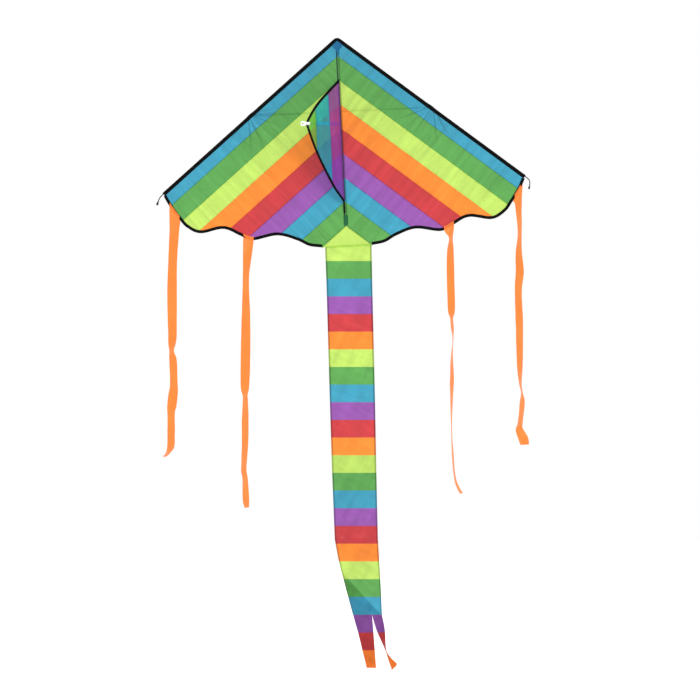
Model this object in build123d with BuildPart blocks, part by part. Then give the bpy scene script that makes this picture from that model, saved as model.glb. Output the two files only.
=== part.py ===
from build123d import *
import os
from math import atan, cos, pi, radians, sin, tan

# A rainbow delta kite that hangs by its nose. Millimetres, +Z up. The sail stands in the XZ plane with
# its keel side towards -Y, and the origin is the tip of the rounded nose.

# Overall sizes
half_span = 500.0  # spine to wing tip
sail_depth = 572.0  # nose tip to the seam that the tail hangs from
tail_length = 1156.0  # that seam to the points of the forked end
keel_depth = 131.0  # spine to the keel's point

# Materials as solids
cloth = 0.6  # sail, keel, tail and streamers
tape = 1.4  # bindings and hems
play = 0.4  # room between edges that move past each other
snug = 0.05  # round a rod or a cord in its sleeve

# Frame
spar_radius = 1.5  # leading edge spars
rod_radius = 1.75  # spine rod and spreader
rod_y = rod_radius + 1.35  # the spine rod lies this far behind the sail
hinge_x = 5.9  # the wings fold along lines this far from the spine
spine_half = 5.0  # half width of the cloth on the spine
panel_x = hinge_x + 0.1  # where the wings' own cloth begins
rod_top = 25.0  # below the nose
rod_foot = 0.874 * sail_depth
sleeve_top = rod_top + 2.0
sleeve_foot = 0.86 * sail_depth
sleeve_width = 2 * rod_radius + 4.9
sleeve_height = 2 * rod_radius + 1.7
sleeve_round = 2.2
spine_cap_radius = rod_radius + 0.85
spine_cap_length = 0.024 * sail_depth
spine_cap_foot = 0.886 * sail_depth

# Sail pattern
apex_z = 4.3  # where the leading edges would meet, above the rounded nose
tip_drop = 0.7035 * sail_depth
edge_band = 11.0  # leading edge sleeve, across
binding_band = 8.0  # trailing edge binding, across
first_strip = 42.0  # the strip along the leading edge, sleeve included
gusset_drop = 0.902 * sail_depth  # nose to the gusset's point
nose_shoulder = 0.9  # the rounded nose has dropped this far at spine_half
nose_band_foot = 9.4
spine_band_top = 12.0
nose_patch_length = 18.4
foot_patch_z = -0.877 * sail_depth
foot_patch_length = 0.05 * sail_depth
strip_colours = ["blue", "green", "lime", "orange", "red", "purple", "blue", "green"]
scallops = [  # trailing edge from tip to seam, as shares of half_span and sail_depth
    (0.964, 0.766),
    (0.914, 0.830),
    (0.874, 0.872),
    (0.800, 0.904),
    (0.674, 0.888),
    (0.586, 0.923),
    (0.516, 0.949),
    (0.380, 0.932),
    (0.274, 0.960),
    (0.208, 0.990),
]

# Spreader
spreader_z = -0.353 * sail_depth
spreader_y = sleeve_height + rod_radius + 0.85  # clear of the spine sleeve, which it crosses
spar_inset = 3.8  # leading edge to the spar's axis
pocket_start = 15.0  # the pockets start this far out from the spine
pocket_width = 7.6
pocket_depth = 4.4
pocket_round = 2.0
window_inset = 4.2  # middle of the opening that lets the hook reach the spar
window_width = 10.4
window_back = 5.0
window_depth = 11.6
hook_length = 10.0
hook_width = 7.5
hook_wall = 2.9  # block past the spreader's axis
hook_gap = 0.3  # round the spar
socket_radius = rod_radius + 1.25
socket_length = 16.0
socket_depth = 20.0
cap_length = 9.0
cap_radius = spar_radius + 0.7

# Keel and tow ring
keel_y = -1.6  # the line that the keel swings about
keel_lean = 46.0  # it hangs over to the left by this much, from straight forward
keel_outline = [  # free edge from the top, as shares of keel_depth and sail_depth
    (0.282, 0.245),
    (0.687, 0.318),
    (0.954, 0.388),
    (1.000, 0.413),
    (0.975, 0.441),
    (0.740, 0.561),
    (0.344, 0.708),
]
keel_top = -0.2045 * sail_depth
keel_foot = -0.785 * sail_depth
keel_tape_foot = -0.848 * sail_depth
keel_root = 0.8  # cloth starts this far out from the swing line
keel_band = 7.0  # binding, across
keel_seams = [0.336 * keel_depth, 0.725 * keel_depth]
keel_colours = ["purple", "blue", "green"]
tow_z = -0.4126 * sail_depth
tow_tape_width = 8.0
ring_radius = 7.0
ring_bore = 4.0
ring_thickness = 2.2
ring_arm = 5.5  # bar to ring
ring_rail = 1.5
webbing = 0.5  # tow tape, thick
bar_radius = 1.1
bar_reach = 5.0  # keel point to the ring's cross bar

# Tail
tail_half = 63.5
tail_lean = 1.4
tail_strips = 24
first_tail_strip = 41.0
fork_strips = 3
leg_tip = 26.0
tail_colours = ["lime", "green", "blue", "purple", "red", "orange"]

# Streamers: place along the span, drop from the trailing edge, lean towards -X in degrees
streamer_half = 14.0
streamer_lap = 40.0  # drawn this far above the trailing edge, then cut to it
outer_top = -0.80 * sail_depth  # about where the outer and the inner pairs are sewn on
inner_top = -0.93 * sail_depth
streamers = {
    "outer_left": (-0.923 * half_span, 684.0, 5.5),
    "inner_left": (-0.532 * half_span, 731.0, 3.8),
    "inner_right": (0.556 * half_span, 711.0, 0.4),
    "outer_right": (0.953 * half_span, 712.0, 1.6),
}

# Wing tip cords: steps from the spar cap, sideways away from the kite and down
cord_radius = 1.4
cord_steps = {
    "left": [(0, 0), (7.2, -6.2), (12.6, -15.0), (17.0, -27.0)],
    "right": [(0, 0), (7.5, -5.2), (12.0, -13.6), (11.2, -22.8), (8.6, -32.4)],
}
cord_end = {"left": (3.6, 10.4), "right": (3.0, 8.0)}  # end radius and length
cord_end_wall = 0.6  # round the cord, where the end starts
cord_end_beyond = 2.0  # past the cord's own end

# Angles and lengths that follow
sweep_angle = atan((tip_drop + apex_z) / half_span)
edge_length = half_span / cos(sweep_angle)
gusset_inset = (apex_z + gusset_drop) * cos(sweep_angle)
strip_pitch = (gusset_inset - first_strip) / (len(strip_colours) - 1)
seam_x = (sail_depth + apex_z - gusset_inset / cos(sweep_angle)) / tan(sweep_angle)
hook_along = (apex_z - spreader_z - spar_inset * cos(sweep_angle)) / sin(sweep_angle)
sides = {"left": -1, "right": 1}

os.makedirs("parts", exist_ok=True)


def save(piece, name):
    piece.part.label = name
    export_step(piece.part, f"parts/{name}.step")


def from_edge(side, along, inset):
    """A point (x, z) so far down a leading edge and so far in from it."""
    x = along * cos(sweep_angle) - inset * sin(sweep_angle)
    z = apex_z - along * sin(sweep_angle) - inset * cos(sweep_angle)
    return side * x, z


def inset_z(x, inset):
    """Height at x of the line that runs this far in from the leading edge."""
    return apex_z - abs(x) * tan(sweep_angle) - inset / cos(sweep_angle)


def section_plane(side, along):
    """Square to a leading edge: x runs in across the sail, and y towards the back on the right wing."""
    x, z = from_edge(side, along, 0)
    across = (-side * sin(sweep_angle), 0, -cos(sweep_angle))
    return Plane(origin=(x, 0, z), x_dir=across, z_dir=(side * cos(sweep_angle), 0, -sin(sweep_angle)))


def band(side, inner, outer):
    """Corners of a strip of sail between two insets, long enough to cross the whole wing."""
    reach = 2 * edge_length
    return [
        from_edge(side, -reach, inner),
        from_edge(side, reach, inner),
        from_edge(side, reach, outer),
        from_edge(side, -reach, outer),
    ]


def trailing_points(side):
    tip = (side * half_span, -tip_drop)
    lobes = [(side * half_span * across, -sail_depth * down) for across, down in scallops]
    return [tip, *lobes, (side * seam_x, -sail_depth)]


# Spine: rod, its sleeve, the nose and the foot
with BuildPart() as spine_rod:
    with BuildSketch(Plane.XY.offset(-rod_foot)):
        with Locations((0, rod_y)):
            Circle(rod_radius)
    extrude(amount=rod_foot - rod_top)
save(spine_rod, "spine_rod")

with BuildPart() as spine_sleeve:
    with BuildSketch(Plane.XZ):
        with BuildLine():
            Polyline(
                (-spine_half, inset_z(spine_half, gusset_inset)),
                (-spine_half, -spine_band_top),
                (spine_half, -spine_band_top),
                (spine_half, inset_z(spine_half, gusset_inset)),
                close=True,
            )
        make_face()
    extrude(amount=cloth / 2, both=True)
    with BuildSketch(Plane.XY.offset(-sleeve_foot)):
        with Locations((0, cloth / 3 + sleeve_height / 2)):
            RectangleRounded(sleeve_width, sleeve_height, sleeve_round)
    extrude(amount=sleeve_foot - sleeve_top)
    with BuildSketch(Plane.XY.offset(-sail_depth)):
        with Locations((0, rod_y)):
            Circle(rod_radius + snug)
    extrude(amount=sail_depth, mode=Mode.SUBTRACT)
save(spine_sleeve, "spine_sleeve")

with BuildPart() as spine_cap:
    with BuildSketch(Plane.XY.offset(-spine_cap_foot)):
        with Locations((0, rod_y)):
            Circle(spine_cap_radius)
    extrude(amount=spine_cap_length)
    with BuildSketch(Plane.XY.offset(-rod_foot)):
        with Locations((0, rod_y)):
            Circle(rod_radius)
    extrude(amount=sail_depth, mode=Mode.SUBTRACT)
    fillet(spine_cap.faces().sort_by(Axis.Z)[0].edges(), 0.8)
save(spine_cap, "spine_cap")

with BuildPart() as nose_binding:
    with BuildSketch(Plane.XZ):
        with BuildLine():
            ThreePointArc((-spine_half, -nose_shoulder), (0, 0), (spine_half, -nose_shoulder))
            Polyline(
                (spine_half, -nose_shoulder),
                (spine_half, -nose_band_foot),
                (-spine_half, -nose_band_foot),
                (-spine_half, -nose_shoulder),
            )
        make_face()
    extrude(amount=tape / 2, both=True)
save(nose_binding, "nose_binding")

with BuildPart() as nose_patch:
    with BuildSketch(Plane.XZ.offset(cloth / 2)):
        with Locations((0, -spine_band_top)):
            Rectangle(2 * spine_half, nose_patch_length, align=(Align.CENTER, Align.MAX))
    extrude(amount=cloth)
save(nose_patch, "nose_patch")

with BuildPart() as foot_patch:
    with BuildSketch(Plane.XZ.offset(cloth / 2)):
        with Locations((0, foot_patch_z)):
            Rectangle(2 * spine_half, foot_patch_length)
    extrude(amount=cloth)
save(foot_patch, "foot_patch")

with BuildPart() as centre_gusset:
    with BuildSketch(Plane.XZ):
        with BuildLine():
            Polyline(
                (-spine_half, inset_z(spine_half, gusset_inset)),
                (spine_half, inset_z(spine_half, gusset_inset)),
                (spine_half, inset_z(spine_half, gusset_inset + play)),
                (seam_x - play, -sail_depth),
                (-seam_x + play, -sail_depth),
                (-spine_half, inset_z(spine_half, gusset_inset + play)),
                close=True,
            )
        make_face()
    extrude(amount=cloth / 2, both=True)
save(centre_gusset, "centre_gusset")


# Wings: cloth strips, sleeve with its spar, binding, cap and tip cord
def make_wing(wing, side):
    back = side  # towards the back, along the y of this wing's section planes
    with BuildSketch(Plane.XZ) as outline:
        with BuildLine():
            Polyline(
                (side * seam_x, -sail_depth),
                (side * panel_x, inset_z(panel_x, gusset_inset)),
                (side * panel_x, inset_z(panel_x, 0)),
                (side * half_span, -tip_drop),
            )
            Spline(*trailing_points(side))
        make_face()

    with BuildSketch(Plane.XZ) as hem:
        with BuildLine():
            Spline(*trailing_points(side))
        trace(line_width=2 * binding_band)
        add(outline.sketch_local, mode=Mode.INTERSECT)
        Polygon(*band(side, -edge_band, edge_band), align=None, mode=Mode.SUBTRACT)

    for number, colour in enumerate(strip_colours):
        outer = edge_band if number == 0 else first_strip + (number - 1) * strip_pitch
        inner = first_strip + number * strip_pitch
        with BuildPart() as strip:
            with BuildSketch(Plane.XZ):
                Polygon(*band(side, outer, inner), align=None)
                add(outline.sketch_local, mode=Mode.INTERSECT)
                add(hem.sketch_local, mode=Mode.SUBTRACT)
            extrude(amount=cloth / 2, both=True)
        save(strip, f"wing_{wing}_strip_{number + 1}_{colour}")

    with BuildPart() as binding:
        with BuildSketch(Plane.XZ):
            add(hem.sketch_local)
        extrude(amount=tape / 2, both=True)
    save(binding, f"wing_{wing}_edge_binding")

    start = pocket_start / cos(sweep_angle)
    sleeve_end = edge_length - cap_length
    with BuildPart() as sleeve:
        with BuildSketch(Plane.XZ):
            Polygon(*band(side, 0, edge_band), align=None)
            add(outline.sketch_local, mode=Mode.INTERSECT)
        extrude(amount=tape / 2, both=True)
        with BuildSketch(section_plane(side, start)):
            with Locations((pocket_width / 2, 0)):
                RectangleRounded(pocket_width, pocket_depth, pocket_round)
        extrude(amount=sleeve_end - start)
        with BuildSketch(section_plane(side, sleeve_end)):
            Rectangle(4 * edge_band, 4 * edge_band)
        extrude(amount=4 * cap_length, mode=Mode.SUBTRACT)
        with BuildSketch(section_plane(side, start)):
            with Locations((spar_inset, 0)):
                Circle(spar_radius + snug)
        extrude(amount=edge_length, mode=Mode.SUBTRACT)
        with BuildSketch(section_plane(side, hook_along)):
            with Locations((window_inset, back * window_back)):
                Rectangle(window_width, window_depth)
        extrude(amount=hook_length / 2 + 1, both=True, mode=Mode.SUBTRACT)
    save(sleeve, f"wing_{wing}_edge_sleeve")

    with BuildPart() as spar:
        with BuildSketch(section_plane(side, start + 2)):
            with Locations((spar_inset, 0)):
                Circle(spar_radius)
        extrude(amount=edge_length - start - 5)
    save(spar, f"wing_{wing}_spar")

    with BuildPart() as cap:
        with BuildSketch(section_plane(side, sleeve_end)):
            with Locations((spar_inset, 0)):
                Circle(cap_radius)
        extrude(amount=cap_length)
        with BuildSketch(section_plane(side, sleeve_end)):
            with Locations((spar_inset, 0)):
                Circle(spar_radius)
        extrude(amount=cap_length - 3, mode=Mode.SUBTRACT)
    save(cap, f"wing_{wing}_spar_cap")
    make_tip_cord(wing, side)


def make_tip_cord(wing, side):
    start_x, start_z = from_edge(side, edge_length + 0.1, spar_inset)
    points = [Vector(start_x + side * out, 0, start_z + down) for out, down in cord_steps[wing]]
    runs = [b - a for a, b in zip(points, points[1:])]
    radii = []
    for one, two in zip(runs, runs[1:]):
        shorter = min(one.length, two.length)
        radii.append(0.45 * shorter / tan(radians(one.get_angle(two)) / 2))
    print(f"tip cord {wing}: bend radii {[round(r, 1) for r in radii]}")
    with BuildPart() as cord:
        with BuildLine() as route:
            FilletPolyline(*points, radius=radii)
        with BuildSketch(Plane(origin=route.line @ 0, z_dir=route.line % 0)):
            Circle(cord_radius)
        sweep()
    run = route.wires()[0].length
    share = cord.part.volume / (pi * cord_radius**2 * run)
    print(f"tip cord {wing}: {run:.1f} mm long, volume {share:.3f} of section times length")
    save(cord, f"tip_cord_{wing}")

    radius, length = cord_end[wing]
    down_cord = runs[-1].normalized()
    with BuildPart() as end:
        top = points[-1] + down_cord * (cord_end_beyond - length)
        with BuildSketch(Plane(origin=top, x_dir=(0, 1, 0), z_dir=down_cord)):
            Circle(cord_radius + cord_end_wall)
        foot = points[-1] + down_cord * cord_end_beyond
        with BuildSketch(Plane(origin=foot, x_dir=(0, 1, 0), z_dir=down_cord)):
            Circle(radius)
        loft()
        with BuildSketch(Plane(origin=points[-1], x_dir=(0, 1, 0), z_dir=down_cord)):
            Circle(cord_radius + snug)
        extrude(amount=-length, mode=Mode.SUBTRACT)
        fillet(end.edges().filter_by(GeomType.CIRCLE).sort_by(SortBy.RADIUS)[-1], 1.2)
    save(end, f"tip_cord_end_{wing}")


for wing, side in sides.items():
    make_wing(wing, side)


# Spreader: a bar behind the sail, with a hook on each end that cups the spar from behind and inboard
bar_end = from_edge(1, hook_along, spar_inset)[0] - 5

with BuildPart() as spreader_bar:
    with BuildSketch(Plane.YZ.offset(-bar_end)):
        with Locations((spreader_y, spreader_z)):
            Circle(rod_radius)
    extrude(amount=2 * bar_end)
save(spreader_bar, "spreader_bar")

for wing, side in sides.items():
    with BuildPart() as hook:
        with BuildSketch(section_plane(side, hook_along)):
            with Locations((spar_inset + hook_width / 6, side * (spreader_y + hook_wall - 1) / 2)):
                Rectangle(hook_width, spreader_y + hook_wall)
            with Locations((spar_inset, 0)):
                Circle(spar_radius + hook_gap, mode=Mode.SUBTRACT)
            with Locations((spar_inset - 1.0, side * -1.0)):
                Rectangle(2 * (spar_radius + hook_gap) + 2.0, 2.0, mode=Mode.SUBTRACT)
        extrude(amount=hook_length / 2, both=True)
        with BuildSketch(Plane.YZ.offset(side * (bar_end + 2))):
            with Locations((spreader_y, spreader_z)):
                Circle(socket_radius)
        extrude(amount=-side * socket_length)
        with BuildSketch(Plane.YZ.offset(side * bar_end)):
            with Locations((spreader_y, spreader_z)):
                Circle(rod_radius)
        extrude(amount=-side * socket_depth, mode=Mode.SUBTRACT)
    save(hook, f"spreader_hook_{wing}")


# Keel: three cloth panels, a binding on the free edge, the tow tape and the ring
keel_dir = (-sin(radians(keel_lean)), -cos(radians(keel_lean)), 0)
keel_normal = (keel_dir[1], -keel_dir[0], 0)
keel_plane = Plane(origin=(0, keel_y, 0), x_dir=keel_dir, z_dir=keel_normal)
keel_edge = [(keel_root, keel_top)]
keel_edge += [(out * keel_depth, -down * sail_depth) for out, down in keel_outline]
keel_edge += [(keel_band, keel_foot)]

with BuildSketch(keel_plane) as keel_shape:
    with BuildLine():
        Spline(*keel_edge)
        Polyline((keel_band, keel_foot), (keel_root, keel_foot), (keel_root, keel_top))
    make_face()

with BuildSketch(keel_plane) as keel_hem:
    with BuildLine():
        Spline(*keel_edge)
    trace(line_width=2 * keel_band)
    add(keel_shape.sketch_local, mode=Mode.INTERSECT)
    with Locations((keel_root, keel_foot)):
        Rectangle(keel_band - keel_root, keel_foot - keel_tape_foot, align=(Align.MIN, Align.MAX))

panel_bounds = [keel_root, *keel_seams, 2 * keel_depth]
for colour, near, far in zip(keel_colours, panel_bounds, panel_bounds[1:]):
    with BuildPart() as panel:
        with BuildSketch(keel_plane):
            with Locations((near, 0)):
                Rectangle(far - near, 2 * sail_depth, align=(Align.MIN, Align.CENTER))
            add(keel_shape.sketch_local, mode=Mode.INTERSECT)
            add(keel_hem.sketch_local, mode=Mode.SUBTRACT)
        extrude(amount=cloth / 2, both=True)
    save(panel, f"keel_{colour}")

with BuildPart() as keel_binding:
    with BuildSketch(keel_plane):
        add(keel_hem.sketch_local)
    extrude(amount=tape / 2, both=True)
save(keel_binding, "keel_binding")

bar_out = keel_depth + bar_reach
loop_radius = bar_radius + 0.55
lap = tape / 2 + 0.3
with BuildPart() as tow_tape:
    with BuildSketch(Plane(origin=(0, keel_y, tow_z), x_dir=keel_dir, z_dir=(0, 0, -1))):
        with BuildLine():
            Polyline((3, lap), (keel_depth - 6, lap), (bar_out, loop_radius))
            CenterArc((bar_out, 0), loop_radius, 90, -180)
            Line((bar_out, -loop_radius), (keel_depth - 6, -lap))
        trace(line_width=webbing)
    extrude(amount=tow_tape_width / 2, both=True)
save(tow_tape, "tow_tape")

ring_out = bar_out + 2.4 + ring_radius
rail_z = tow_tape_width / 2 + 0.5
with BuildPart() as tow_ring:
    with BuildSketch(keel_plane):
        with Locations((ring_out, tow_z)):
            Circle(ring_radius)
        for up in (-1, 1):
            with Locations((bar_out - bar_radius, tow_z + up * (rail_z + ring_rail / 2))):
                Rectangle(ring_arm, ring_rail, align=(Align.MIN, Align.CENTER))
        with Locations((ring_out, tow_z)):
            Circle(ring_bore, mode=Mode.SUBTRACT)
    extrude(amount=ring_thickness / 2, both=True)
    bar_foot = Vector(0, keel_y, tow_z - rail_z - 0.5) + Vector(keel_dir) * bar_out
    with BuildSketch(Plane(origin=bar_foot, z_dir=(0, 0, 1))):
        Circle(bar_radius)
    extrude(amount=2 * rail_z + 1)
save(tow_ring, "tow_ring")


# Streamers hang from just under the trailing edge
def make_streamer(name, place, drop, lean):
    side = 1 if place > 0 else -1
    below_edge = [(x, z - 2 * play) for x, z in trailing_points(side)]
    with BuildSketch(Plane.XZ) as room:
        with BuildLine():
            Spline(*below_edge)
            Polyline(below_edge[-1], (0, -sail_depth), (0, 0), below_edge[0])
        make_face()
    top = outer_top if abs(place) > 0.8 * half_span else inner_top
    slope = tan(radians(lean))
    foot_x = place - slope * drop
    with BuildPart() as streamer:
        with BuildSketch(Plane.XZ):
            Polygon(
                (place + slope * streamer_lap - streamer_half, top + streamer_lap),
                (place + slope * streamer_lap + streamer_half, top + streamer_lap),
                (foot_x + streamer_half, top - drop),
                (foot_x - streamer_half, top - drop),
                align=None,
            )
            add(room.sketch_local, mode=Mode.SUBTRACT)
        extrude(amount=cloth / 2, both=True)
    save(streamer, f"streamer_{name}")


for name, (place, drop, lean) in streamers.items():
    make_streamer(name, place, drop, lean)


# Tail: sewn strips in six colours, in an upper and a lower length, with a fork cut into the end
strip_length = (tail_length - first_tail_strip) / (tail_strips - 1)
fork_top = tail_length - fork_strips * strip_length


def tail_point(down, across):
    return across - down * tan(radians(tail_lean)), -sail_depth - down


for half, name in enumerate(("upper", "lower")):
    for shade, colour in enumerate(tail_colours):
        with BuildPart() as tail:
            for number in range(half * 12 + shade, half * 12 + 12, len(tail_colours)):
                top = 0 if number == 0 else first_tail_strip + (number - 1) * strip_length
                foot = first_tail_strip + number * strip_length
                top += {0: 2 * play, 12: play}.get(number, 0)  # room to bend at the seam and half way
                foot -= play if number == 11 else 0
                with BuildSketch(Plane.XZ):
                    Polygon(
                        tail_point(top, -tail_half),
                        tail_point(top, tail_half),
                        tail_point(foot, tail_half),
                        tail_point(foot, -tail_half),
                        align=None,
                    )
                    Polygon(
                        tail_point(fork_top, 0),
                        tail_point(tail_length, tail_half - leg_tip),
                        tail_point(tail_length, leg_tip - tail_half),
                        align=None,
                        mode=Mode.SUBTRACT,
                    )
                extrude(amount=cloth / 2, both=True)
        save(tail, f"tail_{name}_{colour}")
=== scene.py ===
from math import atan, cos, hypot, pi, radians, sin, tan

import bpy
import numpy as np
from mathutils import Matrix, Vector, noise


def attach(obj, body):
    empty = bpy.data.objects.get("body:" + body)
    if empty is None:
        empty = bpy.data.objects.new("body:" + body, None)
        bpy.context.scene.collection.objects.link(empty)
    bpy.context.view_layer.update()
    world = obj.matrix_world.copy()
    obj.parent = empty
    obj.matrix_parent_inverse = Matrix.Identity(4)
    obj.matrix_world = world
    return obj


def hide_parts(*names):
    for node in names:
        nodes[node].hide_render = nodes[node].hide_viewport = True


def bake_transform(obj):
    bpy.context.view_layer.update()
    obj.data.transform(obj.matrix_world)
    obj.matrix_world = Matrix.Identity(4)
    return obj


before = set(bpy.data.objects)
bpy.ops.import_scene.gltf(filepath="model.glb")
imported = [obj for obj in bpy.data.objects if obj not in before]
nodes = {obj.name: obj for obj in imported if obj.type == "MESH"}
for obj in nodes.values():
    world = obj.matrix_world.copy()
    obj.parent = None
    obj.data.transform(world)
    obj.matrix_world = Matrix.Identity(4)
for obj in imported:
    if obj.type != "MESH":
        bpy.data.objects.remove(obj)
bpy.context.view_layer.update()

# Rainbow delta kite hanging by its nose in the XZ plane, keel towards -Y. Everything is in metres.
wings = {"left": -1, "right": 1}


# Camera, light and floor

studio = {
    "lens": 200.0,
    "eye": (-0.006, -10.67, -0.857),
    "turn": 2.8,  # degrees, the kite hangs a little askew
    "floorHeight": -1.86,
    "skyLight": 0.54,
    "lights": {  # strength, turns in degrees, softness in degrees
        "keyLight": (2.15, (50, 0, 24), 26),
        "fillLight": (0.35, (75, 0, -60), 60),
        "topLight": (1.5, (0, 0, 0), 50),
    },
}


def addSun(name, strength, angles, softness):
    lamp = bpy.data.lights.new(name, "SUN")
    lamp.energy = strength
    lamp.angle = radians(softness)
    sun = bpy.data.objects.new(name, lamp)
    sun.rotation_euler = [radians(a) for a in angles]
    bpy.context.scene.collection.objects.link(sun)


def setStudio():
    scene = bpy.context.scene
    scene.view_settings.view_transform = "Standard"
    camera = bpy.data.objects.new("camera", bpy.data.cameras.new("camera"))
    camera.data.lens = studio["lens"]
    camera.location = studio["eye"]
    camera.rotation_euler = (radians(90), radians(studio["turn"]), 0)
    scene.collection.objects.link(camera)
    scene.camera = camera

    # white room: what is seen is pure white, what lights the kite is softer
    world = bpy.data.worlds.new("whiteRoom")
    world.use_nodes = True
    scene.world = world
    tree = world.node_tree
    glow = tree.nodes["Background"]
    glow.inputs["Color"].default_value = (0.97, 0.985, 1.0, 1)
    glow.inputs["Strength"].default_value = studio["skyLight"]
    seen = addNode(tree, "Background", {"Color": (1, 1, 1, 1)})
    rays = addNode(tree, "LightPath")
    mix = addNode(
        tree, "MixShader", {0: rays.outputs["Is Camera Ray"], 1: glow.outputs[0], 2: seen.outputs[0]}
    )
    tree.links.new(mix.outputs[0], tree.nodes["World Output"].inputs["Surface"])

    for name, light in studio["lights"].items():
        addSun(name, *light)

    floor = makePiece(
        "floor",
        [gridPart(lambda u, v: (16 * u - 8, 16 * v - 8, studio["floorHeight"]), 3, 3)],
        [floorFinish()],
    )


# Mesh helpers. A part is (points, faces, slot), and a piece is a list of parts in one mesh.

def gridPart(place, rows, columns, slot=0):
    # place(u, v) gives a point, u runs along the columns and v along the rows
    points = [place(c / (columns - 1), r / (rows - 1)) for r in range(rows) for c in range(columns)]
    faces = [
        (r * columns + c, r * columns + c + 1, (r + 1) * columns + c + 1, (r + 1) * columns + c)
        for r in range(rows - 1)
        for c in range(columns - 1)
    ]
    return points, faces, slot


def tubePart(rings):
    count = len(rings[0])
    points = [p for ring in rings for p in ring]
    faces = []
    for r in range(len(rings) - 1):
        for c in range(count):
            d = (c + 1) % count
            faces.append((r * count + c, r * count + d, (r + 1) * count + d, (r + 1) * count + c))
    faces.append(tuple(range(count))[::-1])
    faces.append(tuple(range((len(rings) - 1) * count, len(rings) * count)))
    return points, faces, 0


def makePiece(name, parts, finishes):
    points, faces, slots = [], [], []
    for partPoints, partFaces, slot in parts:
        start = len(points)
        points += [tuple(p) for p in partPoints]
        for face in partFaces:
            faces.append([start + i for i in face])
            slots.append(slot)
    mesh = bpy.data.meshes.new(name)
    mesh.from_pydata(points, [], faces)
    for finish in finishes:
        mesh.materials.append(finish)
    mesh.polygons.foreach_set("material_index", slots)
    mesh.polygons.foreach_set("use_smooth", [True] * len(faces))
    mesh.update()
    piece = bpy.data.objects.new(name, mesh)
    bpy.context.scene.collection.objects.link(piece)
    return piece


def stitchPart(path, normal, slot=0, pitch=0.0034, width=0.0006):
    # a row of raised stitches along a path, normal is a direction or a function of the point
    length, height = 0.0024, 0.00035
    points, faces = [], []
    travelled, due = 0.0, 0.0
    for a, b in zip(path, path[1:]):
        a, b = Vector(a), Vector(b)
        run = (b - a).length
        if run < 1e-7:
            continue
        along = (b - a) / run
        out = Vector(normal(a) if callable(normal) else normal).normalized()
        across = along.cross(out).normalized()
        while due < travelled + run:
            middle = a + along * (due - travelled)
            start = len(points)
            points += [
                middle - along * length / 2,
                middle - across * width / 2 + out * height * 0.4,
                middle + across * width / 2 + out * height * 0.4,
                middle + along * length / 2,
                middle + out * height,
            ]
            faces += [(start + i, start + j, start + 4) for i, j in ((0, 1), (1, 3), (3, 2), (2, 0))]
            due += pitch
        travelled += run
    return points, faces, slot


def smoothCurve(points, steps=12):
    # a smooth curve through the points
    points = [np.array(p, float) for p in points]
    ends = [2 * points[0] - points[1]] + points + [2 * points[-1] - points[-2]]
    line = []
    for a, b, c, d in zip(ends, ends[1:], ends[2:], ends[3:]):
        for i in range(steps):
            t = i / steps
            line.append(
                0.5
                * (
                    2 * b
                    + (c - a) * t
                    + (2 * a - 5 * b + 4 * c - d) * t**2
                    + (3 * b - a - 3 * c + d) * t**3
                )
            )
    return np.array(line + [points[-1]])


def noiseAt(x, y, z):
    return noise.noise(Vector((x, y, z)))


def readKeys(keys, at):
    # a table of keys read at one value of its first column
    return [float(np.interp(at, keys[:, 0], column)) for column in keys.T[1:]]


def besideLine(x, z, start, end):
    # how far along a line a point is, from 0 to 1, and how far to its side
    run = hypot(end[0] - start[0], end[1] - start[1])
    dx, dz = (end[0] - start[0]) / run, (end[1] - start[1]) / run
    far = ((x - start[0]) * dx + (z - start[1]) * dz) / run
    return far, (x - start[0]) * dz - (z - start[1]) * dx


def bothFaces(section):
    # the section of a folded tape, its front and then its back
    return section + [(reach, -height) for reach, height in section[::-1][:-1]]


def ease(t):
    t = min(max(t, 0.0), 1.0)
    return t * t * (3 - 2 * t)


# Finishes

dyes = {
    "blue": "3999B6",
    "green": "579F4B",
    "lime": "BBDE60",
    "orange": "FA862C",
    "red": "C6373B",
    "purple": "9150A6",
}


def dye(code, shade=1.0):
    levels = [int(code[i : i + 2], 16) / 255 for i in (0, 2, 4)]
    return tuple(
        shade * (v / 12.92 if v < 0.04045 else ((v + 0.055) / 1.055) ** 2.4) for v in levels
    ) + (1,)


def newFinish(name):
    finish = bpy.data.materials.new(name)
    finish.use_nodes = True
    tree = finish.node_tree
    return finish, tree, tree.nodes["Principled BSDF"]


def addNode(tree, kind, values=(), **settings):
    # a value is the input's own, or another node's output to link to it
    node = tree.nodes.new("ShaderNode" + kind)
    for name, value in settings.items():
        setattr(node, name, value)
    for socket, value in dict(values).items():
        if isinstance(value, bpy.types.NodeSocket):
            tree.links.new(value, node.inputs[socket])
        else:
            node.inputs[socket].default_value = value
    return node


def weaveHeight(tree, where, thread, wobble):
    # over and under threads
    bands = []
    for direction in ("X", "Z"):
        values = {"Scale": 0.314 / thread, "Distortion": wobble, "Detail": 1.0, "Vector": where}
        wave = addNode(tree, "TexWave", values, bands_direction=direction)
        bands.append(wave.outputs["Fac"])
    join = addNode(tree, "Math", {0: bands[0], 1: bands[1]}, operation="MAXIMUM")
    return join.outputs[0]


def tinted(tree, amount, colour, low, high, start=0.3, end=0.7):
    # colour times a grey that goes from low to high with the amount
    ramp = addNode(tree, "ValToRGB")
    for element, position, grey in zip(ramp.color_ramp.elements, (start, end), (low, high)):
        element.position = position
        element.color = (grey, grey, grey, 1)
    tree.links.new(amount, ramp.inputs["Fac"])
    values = {"Factor": 1.0, 6: colour, 7: ramp.outputs["Color"]}
    blend = addNode(tree, "Mix", values, data_type="RGBA", blend_type="MULTIPLY")
    return blend.outputs[2]


def mottled(tree, where, colour, scale, low, high, detail=3.0):
    cloud = addNode(tree, "TexNoise", {"Scale": scale, "Detail": detail, "Roughness": 0.6, "Vector": where})
    return tinted(tree, cloud.outputs["Fac"], colour, low, high)


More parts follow.
